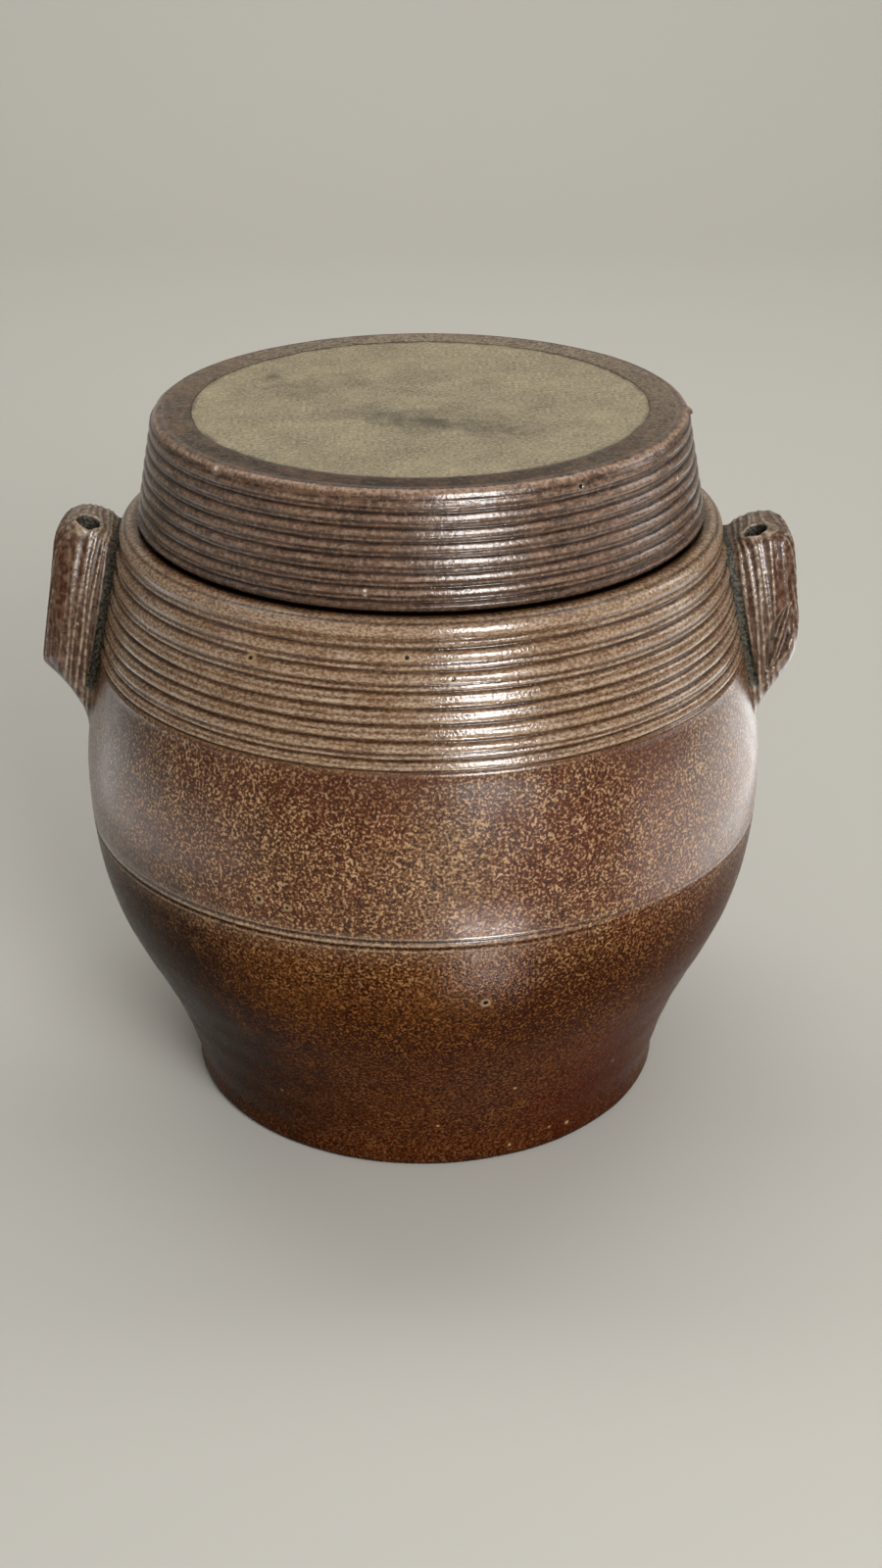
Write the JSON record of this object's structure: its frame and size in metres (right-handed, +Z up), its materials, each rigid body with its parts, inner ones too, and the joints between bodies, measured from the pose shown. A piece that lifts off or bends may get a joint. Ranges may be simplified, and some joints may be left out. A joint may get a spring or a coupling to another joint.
{
  "type": "confit pot",
  "caption": "Round-bellied glazed stoneware pot with a ridged shoulder, a loose cap lid that lifts off its collar, and a pierced ear on each side for a tie-down cord.",
  "frame": {"origin": "middle of the foot, on the face that the pot stands on", "axes": "+Z up the pot's axis, +X towards the right-hand ear, -Y towards the front"},
  "size_m": [0.2474, 0.22, 0.2293],
  "materials": {
    "pot_glaze": "speckled brown salt glaze over thrown stoneware",
    "lid_glaze": "dark brown salt glaze with a bare olive-tan disc on top",
    "ear_glaze": "glossy red-brown salt glaze over pulled ribs"
  },
  "bodies": {
    "pot": {"pot_body": "pot_glaze", "left_ear": "ear_glaze", "right_ear": "ear_glaze"},
    "lid": {"lid": "lid_glaze"}
  },
  "joints": [
    {"name": "lid_lift", "type": "slide", "parent": "pot", "child": "lid", "axis": [0, 0, 1], "range_m": [0, 0.15]}
  ]
}
